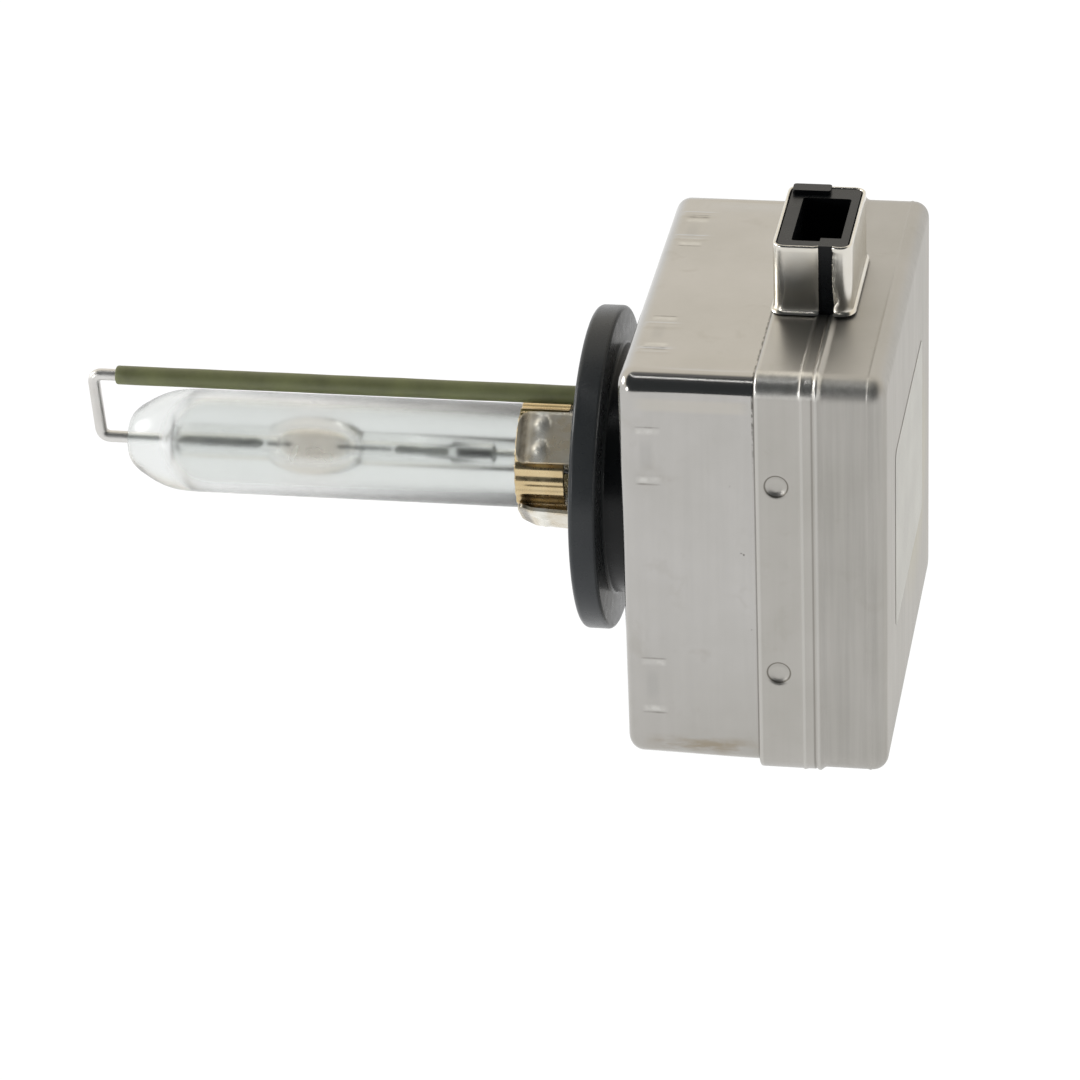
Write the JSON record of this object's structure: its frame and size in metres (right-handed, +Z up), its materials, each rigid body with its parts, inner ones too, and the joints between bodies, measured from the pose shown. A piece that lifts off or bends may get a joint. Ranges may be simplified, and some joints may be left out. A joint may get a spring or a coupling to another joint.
{
  "type": "headlight bulb",
  "caption": "Gas-discharge headlight bulb: quartz burner with a return wire, round seating ring, and a square metal-shielded igniter box with a connector socket on top.",
  "frame": {"origin": "middle of the base ring's front face, the face that seats in the headlamp", "axes": "-X along the burner to its tip, +X into the igniter box, +Z up to the connector socket"},
  "size_m": [0.0823, 0.0426, 0.05],
  "materials": {
    "nickel_sheet": "satin nickel plated sheet",
    "bright_nickel": "polished nickel plate",
    "black_plastic": "satin moulded",
    "quartz": "clear",
    "wire_nickel": "dull nickel wire",
    "dark_steel": "drawn refractory metal",
    "brass": "satin",
    "copper_wire": "enamelled winding wire",
    "olive_ceramic": "fired, matte",
    "white_ceramic": "fired, matte",
    "ferrite": "ground ferrite",
    "board": "solder mask",
    "film_case": "moulded capacitor case",
    "potting": "cast compound",
    "label": "blank silver label"
  },
  "bodies": {
    "root": {"outer_bulb": "quartz", "arc_tube": "quartz", "front_electrode": "dark_steel", "rear_electrode": "dark_steel", "front_foil": "dark_steel", "rear_foil": "dark_steel", "front_lead": "dark_steel", "rear_lead": "dark_steel", "rear_lead_coil": "dark_steel", "return_wire": "wire_nickel", "ceramic_tube": "olive_ceramic", "clamp_sleeve": "brass", "burner_leg_1": "bright_nickel", "burner_leg_2": "bright_nickel", "burner_leg_3": "bright_nickel", "burner_leg_4": "bright_nickel", "base_ring": "black_plastic", "front_shield": "nickel_sheet", "rear_shield": "nickel_sheet", "connector_shroud": "bright_nickel", "connector_housing": "black_plastic", "connector_pin_1": "brass", "connector_pin_2": "brass", "connector_pin_3": "brass", "connector_pin_4": "brass", "blank_label": "label", "igniter_tub": "black_plastic", "transformer_core": "ferrite", "coil_bobbin": "black_plastic", "secondary_winding_1": "copper_wire", "secondary_winding_2": "copper_wire", "secondary_winding_3": "copper_wire", "secondary_winding_4": "copper_wire", "primary_winding": "copper_wire", "spark_gap_body": "white_ceramic", "spark_gap_cap_1": "dark_steel", "spark_gap_cap_2": "dark_steel", "storage_capacitor": "film_case", "bleeder_resistor": "white_ceramic", "high_voltage_contact": "brass", "return_strap": "brass", "circuit_board": "board", "potting_layer": "potting"}
  },
  "joints": []
}
